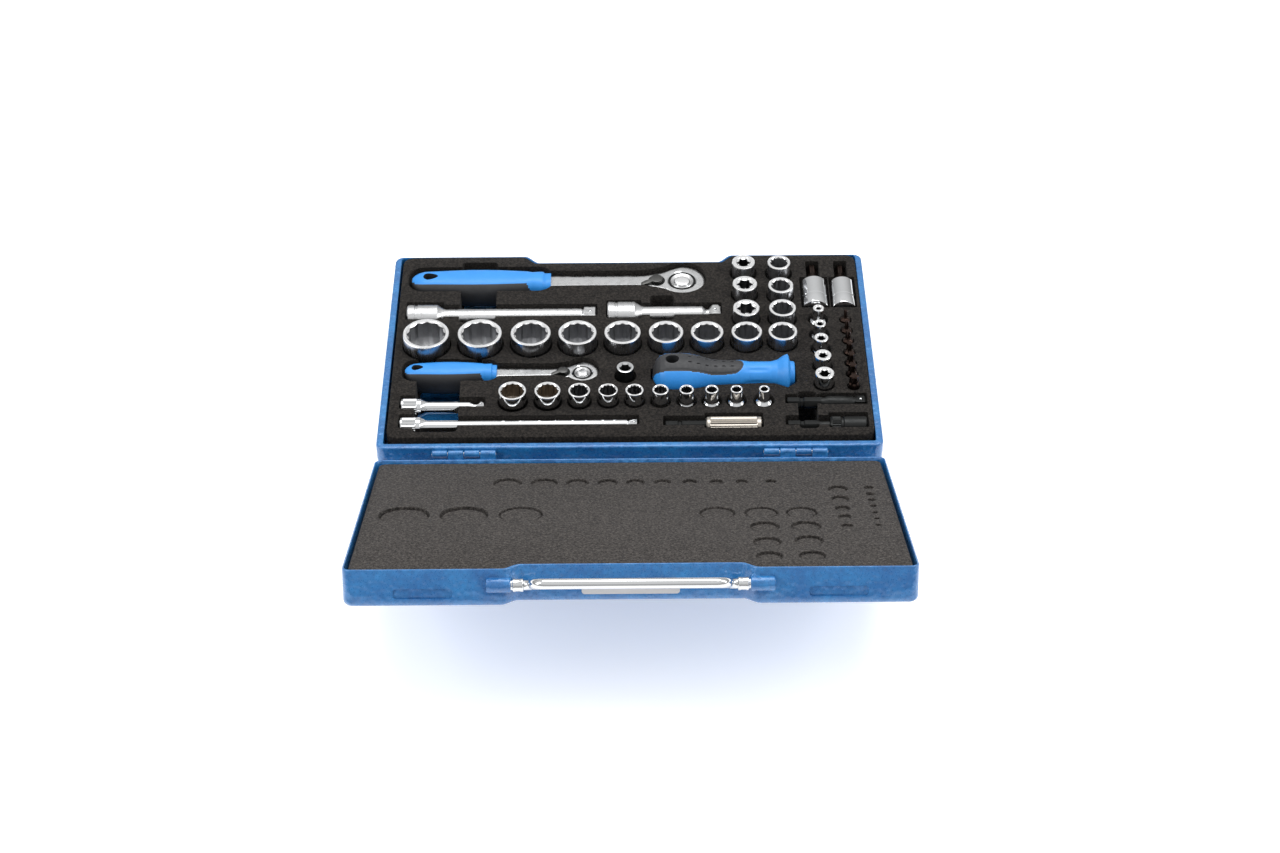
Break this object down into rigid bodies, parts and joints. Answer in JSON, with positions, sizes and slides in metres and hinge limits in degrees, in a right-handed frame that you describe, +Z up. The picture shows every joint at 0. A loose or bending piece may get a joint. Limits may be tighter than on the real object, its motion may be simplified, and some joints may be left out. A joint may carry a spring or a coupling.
{
  "type": "socket wrench set in case",
  "caption": "Open blue sheet-steel case with a hinged lid, carry handle and foam trays holding ratchets, sockets, extension bars, a driver handle and bit tools.",
  "frame": {"origin": "centre of the tray's flat underside, on the surface it stands on", "axes": "+X along the hinge line to the right, +Y away from the hinge towards the front wall of the tray, +Z up"},
  "size_m": [0.316, 0.3976, 0.118],
  "materials": {
    "blue_paint": "gloss hammer-finish enamel",
    "tray_foam": "matt charcoal polyethylene foam",
    "lid_foam": "matt grey soft foam",
    "chrome": "bright chrome plate",
    "satin_steel": "satin chrome plate",
    "blue_grip": "azure moulded grip with a dark grey second component",
    "black_steel": "phosphated black steel"
  },
  "bodies": {
    "tray": {"base_shell": "blue_paint", "base_foam": "tray_foam", "hinge_pin_left": "satin_steel", "hinge_pin_right": "satin_steel"},
    "lid": {"lid_shell": "blue_paint", "lid_foam": "lid_foam", "handle_sleeve_left": "chrome", "handle_sleeve_right": "chrome"},
    "handle": {"carry_handle": "chrome"},
    "ratchet_38": {"ratchet_body_38": "satin_steel", "ratchet_grip_38": "blue_grip"},
    "lever_38": {"ratchet_lever_38": "black_steel"},
    "drive_38": {"ratchet_drive_38": "chrome"},
    "button_38": {"ratchet_button_38": "chrome"},
    "ratchet_14": {"ratchet_body_14": "satin_steel", "ratchet_grip_14": "blue_grip"},
    "lever_14": {"ratchet_lever_14": "black_steel"},
    "drive_14": {"ratchet_drive_14": "chrome"},
    "button_14": {"ratchet_button_14": "chrome"},
    "socket_22mm_38": {"socket_22mm_38": "chrome"},
    "socket_21mm_38": {"socket_21mm_38": "chrome"},
    "socket_19mm_38": {"socket_19mm_38": "chrome"},
    "socket_18mm_38": {"socket_18mm_38": "chrome"},
    "socket_17mm_38": {"socket_17mm_38": "chrome"},
    "socket_16mm_38": {"socket_16mm_38": "chrome"},
    "socket_15mm_38": {"socket_15mm_38": "chrome"},
    "socket_14mm_38": {"socket_14mm_38": "chrome"},
    "socket_13mm_38": {"socket_13mm_38": "chrome"},
    "socket_12mm_38": {"socket_12mm_38": "chrome"},
    "socket_11mm_38": {"socket_11mm_38": "chrome"},
    "socket_10mm_38": {"socket_10mm_38": "chrome"},
    "socket_13mm_14": {"socket_13mm_14": "chrome"},
    "socket_12mm_14": {"socket_12mm_14": "chrome"},
    "socket_10mm_14": {"socket_10mm_14": "chrome"},
    "socket_9mm_14": {"socket_9mm_14": "chrome"},
    "socket_8mm_14": {"socket_8mm_14": "chrome"},
    "socket_7mm_14": {"socket_7mm_14": "chrome"},
    "socket_6mm_14": {"socket_6mm_14": "chrome"},
    "socket_5_5mm_14": {"socket_5_5mm_14": "chrome"},
    "socket_5mm_14": {"socket_5mm_14": "chrome"},
    "socket_4mm_14": {"socket_4mm_14": "chrome"},
    "star_socket_e14_38": {"star_socket_e14_38": "chrome"},
    "star_socket_e12_38": {"star_socket_e12_38": "chrome"},
    "star_socket_e10_38": {"star_socket_e10_38": "chrome"},
    "star_socket_e4_14": {"star_socket_e4_14": "chrome"},
    "star_socket_e5_14": {"star_socket_e5_14": "chrome"},
    "star_socket_e6_14": {"star_socket_e6_14": "chrome"},
    "star_socket_e7_14": {"star_socket_e7_14": "chrome"},
    "star_socket_e8_14": {"star_socket_e8_14": "chrome"},
    "extension_125_38": {"extension_125_38": "chrome"},
    "extension_75_38": {"extension_75_38": "chrome"},
    "extension_55_14": {"extension_55_14": "chrome"},
    "extension_150_14": {"extension_150_14": "chrome"},
    "bit_holder_long": {"bit_holder_long": "satin_steel"},
    "bit_holder_short": {"bit_holder_short": "black_steel"},
    "square_adaptor_14": {"square_adaptor_14": "black_steel"},
    "bit_socket_large": {"bit_socket_large": "chrome"},
    "bit_socket_small": {"bit_socket_small": "chrome"},
    "driver_handle": {"driver_handle": "blue_grip"},
    "adaptor_14": {"adaptor_14": "black_steel"}
  },
  "joints": [
    {"name": "lid_hinge", "type": "hinge", "parent": "tray", "child": "lid", "pos_m": [0, -0.0986, 0.026], "axis": [1, 0, 0], "range_deg": [-155.4, 0]},
    {"name": "handle_pivot", "type": "hinge", "parent": "lid", "child": "handle", "pos_m": [0, -0.28099, 0.09631], "axis": [1, 0, 0], "range_deg": [-68, 22]},
    {"name": "ratchet_38_lift", "type": "slide", "parent": "tray", "child": "ratchet_38", "axis": [0, 0, 1], "range_m": [0, 0.045]},
    {"name": "lever_38_switch", "type": "hinge", "parent": "ratchet_38", "child": "lever_38", "pos_m": [0.0188, 0.0708, 0.027], "axis": [0, 0, 1], "range_deg": [-59.2, 0]},
    {"name": "drive_38_spin", "type": "hinge", "parent": "ratchet_38", "child": "drive_38", "pos_m": [0.0358, 0.0708, 0.015], "axis": [0, 0, 1], "continuous": true},
    {"name": "button_38_press", "type": "slide", "parent": "drive_38", "child": "button_38", "axis": [0, 0, 1], "range_m": [-0.0015, 0], "stiffness_N_per_m": 300, "springref_m": 0.001},
    {"name": "ratchet_14_lift", "type": "slide", "parent": "tray", "child": "ratchet_14", "axis": [0, 0, 1], "range_m": [0, 0.045]},
    {"name": "lever_14_switch", "type": "hinge", "parent": "ratchet_14", "child": "lever_14", "pos_m": [-0.0426, -0.0228, 0.0295], "axis": [0, 0, 1], "range_deg": [-59.2, 0]},
    {"name": "drive_14_spin", "type": "hinge", "parent": "ratchet_14", "child": "drive_14", "pos_m": [-0.0302, -0.0228, 0.0175], "axis": [0, 0, 1], "continuous": true},
    {"name": "button_14_press", "type": "slide", "parent": "drive_14", "child": "button_14", "axis": [0, 0, 1], "range_m": [-0.0015, 0], "stiffness_N_per_m": 300, "springref_m": 0.001},
    {"name": "socket_22mm_38_lift", "type": "slide", "parent": "tray", "child": "socket_22mm_38", "axis": [0, 0, 1], "range_m": [0, 0.045]},
    {"name": "socket_21mm_38_lift", "type": "slide", "parent": "tray", "child": "socket_21mm_38", "axis": [0, 0, 1], "range_m": [0, 0.045]},
    {"name": "socket_19mm_38_lift", "type": "slide", "parent": "tray", "child": "socket_19mm_38", "axis": [0, 0, 1], "range_m": [0, 0.045]},
    {"name": "socket_18mm_38_lift", "type": "slide", "parent": "tray", "child": "socket_18mm_38", "axis": [0, 0, 1], "range_m": [0, 0.045]},
    {"name": "socket_17mm_38_lift", "type": "slide", "parent": "tray", "child": "socket_17mm_38", "axis": [0, 0, 1], "range_m": [0, 0.045]},
    {"name": "socket_16mm_38_lift", "type": "slide", "parent": "tray", "child": "socket_16mm_38", "axis": [0, 0, 1], "range_m": [0, 0.045]},
    {"name": "socket_15mm_38_lift", "type": "slide", "parent": "tray", "child": "socket_15mm_38", "axis": [0, 0, 1], "range_m": [0, 0.045]},
    {"name": "socket_14mm_38_lift", "type": "slide", "parent": "tray", "child": "socket_14mm_38", "axis": [0, 0, 1], "range_m": [0, 0.045]},
    {"name": "socket_13mm_38_lift", "type": "slide", "parent": "tray", "child": "socket_13mm_38", "axis": [0, 0, 1], "range_m": [0, 0.045]},
    {"name": "socket_12mm_38_lift", "type": "slide", "parent": "tray", "child": "socket_12mm_38", "axis": [0, 0, 1], "range_m": [0, 0.045]},
    {"name": "socket_11mm_38_lift", "type": "slide", "parent": "tray", "child": "socket_11mm_38", "axis": [0, 0, 1], "range_m": [0, 0.045]},
    {"name": "socket_10mm_38_lift", "type": "slide", "parent": "tray", "child": "socket_10mm_38", "axis": [0, 0, 1], "range_m": [0, 0.045]},
    {"name": "socket_13mm_14_lift", "type": "slide", "parent": "tray", "child": "socket_13mm_14", "axis": [0, 0, 1], "range_m": [0, 0.045]},
    {"name": "socket_12mm_14_lift", "type": "slide", "parent": "tray", "child": "socket_12mm_14", "axis": [0, 0, 1], "range_m": [0, 0.045]},
    {"name": "socket_10mm_14_lift", "type": "slide", "parent": "tray", "child": "socket_10mm_14", "axis": [0, 0, 1], "range_m": [0, 0.045]},
    {"name": "socket_9mm_14_lift", "type": "slide", "parent": "tray", "child": "socket_9mm_14", "axis": [0, 0, 1], "range_m": [0, 0.045]},
    {"name": "socket_8mm_14_lift", "type": "slide", "parent": "tray", "child": "socket_8mm_14", "axis": [0, 0, 1], "range_m": [0, 0.045]},
    {"name": "socket_7mm_14_lift", "type": "slide", "parent": "tray", "child": "socket_7mm_14", "axis": [0, 0, 1], "range_m": [0, 0.045]},
    {"name": "socket_6mm_14_lift", "type": "slide", "parent": "tray", "child": "socket_6mm_14", "axis": [0, 0, 1], "range_m": [0, 0.045]},
    {"name": "socket_5_5mm_14_lift", "type": "slide", "parent": "tray", "child": "socket_5_5mm_14", "axis": [0, 0, 1], "range_m": [0, 0.045]},
    {"name": "socket_5mm_14_lift", "type": "slide", "parent": "tray", "child": "socket_5mm_14", "axis": [0, 0, 1], "range_m": [0, 0.045]},
    {"name": "socket_4mm_14_lift", "type": "slide", "parent": "tray", "child": "socket_4mm_14", "axis": [0, 0, 1], "range_m": [0, 0.045]},
    {"name": "star_socket_e14_38_lift", "type": "slide", "parent": "tray", "child": "star_socket_e14_38", "axis": [0, 0, 1], "range_m": [0, 0.045]},
    {"name": "star_socket_e12_38_lift", "type": "slide", "parent": "tray", "child": "star_socket_e12_38", "axis": [0, 0, 1], "range_m": [0, 0.045]},
    {"name": "star_socket_e10_38_lift", "type": "slide", "parent": "tray", "child": "star_socket_e10_38", "axis": [0, 0, 1], "range_m": [0, 0.045]},
    {"name": "star_socket_e4_14_lift", "type": "slide", "parent": "tray", "child": "star_socket_e4_14", "axis": [0, 0, 1], "range_m": [0, 0.045]},
    {"name": "star_socket_e5_14_lift", "type": "slide", "parent": "tray", "child": "star_socket_e5_14", "axis": [0, 0, 1], "range_m": [0, 0.045]},
    {"name": "star_socket_e6_14_lift", "type": "slide", "parent": "tray", "child": "star_socket_e6_14", "axis": [0, 0, 1], "range_m": [0, 0.045]},
    {"name": "star_socket_e7_14_lift", "type": "slide", "parent": "tray", "child": "star_socket_e7_14", "axis": [0, 0, 1], "range_m": [0, 0.045]},
    {"name": "star_socket_e8_14_lift", "type": "slide", "parent": "tray", "child": "star_socket_e8_14", "axis": [0, 0, 1], "range_m": [0, 0.045]},
    {"name": "extension_125_38_lift", "type": "slide", "parent": "tray", "child": "extension_125_38", "axis": [0, 0, 1], "range_m": [0, 0.045]},
    {"name": "extension_75_38_lift", "type": "slide", "parent": "tray", "child": "extension_75_38", "axis": [0, 0, 1], "range_m": [0, 0.045]},
    {"name": "extension_55_14_lift", "type": "slide", "parent": "tray", "child": "extension_55_14", "axis": [0, 0, 1], "range_m": [0, 0.045]},
    {"name": "extension_150_14_lift", "type": "slide", "parent": "tray", "child": "extension_150_14", "axis": [0, 0, 1], "range_m": [0, 0.045]},
    {"name": "bit_holder_long_lift", "type": "slide", "parent": "tray", "child": "bit_holder_long", "axis": [0, 0, 1], "range_m": [0, 0.045]},
    {"name": "bit_holder_short_lift", "type": "slide", "parent": "tray", "child": "bit_holder_short", "axis": [0, 0, 1], "range_m": [0, 0.045]},
    {"name": "square_adaptor_14_lift", "type": "slide", "parent": "tray", "child": "square_adaptor_14", "axis": [0, 0, 1], "range_m": [0, 0.045]},
    {"name": "bit_socket_large_lift", "type": "slide", "parent": "tray", "child": "bit_socket_large", "axis": [0, 0, 1], "range_m": [0, 0.045]},
    {"name": "bit_socket_small_lift", "type": "slide", "parent": "tray", "child": "bit_socket_small", "axis": [0, 0, 1], "range_m": [0, 0.045]},
    {"name": "driver_handle_lift", "type": "slide", "parent": "tray", "child": "driver_handle", "axis": [0, 0, 1], "range_m": [0, 0.045]},
    {"name": "adaptor_14_lift", "type": "slide", "parent": "tray", "child": "adaptor_14", "axis": [0, 0, 1], "range_m": [0, 0.045]}
  ]
}
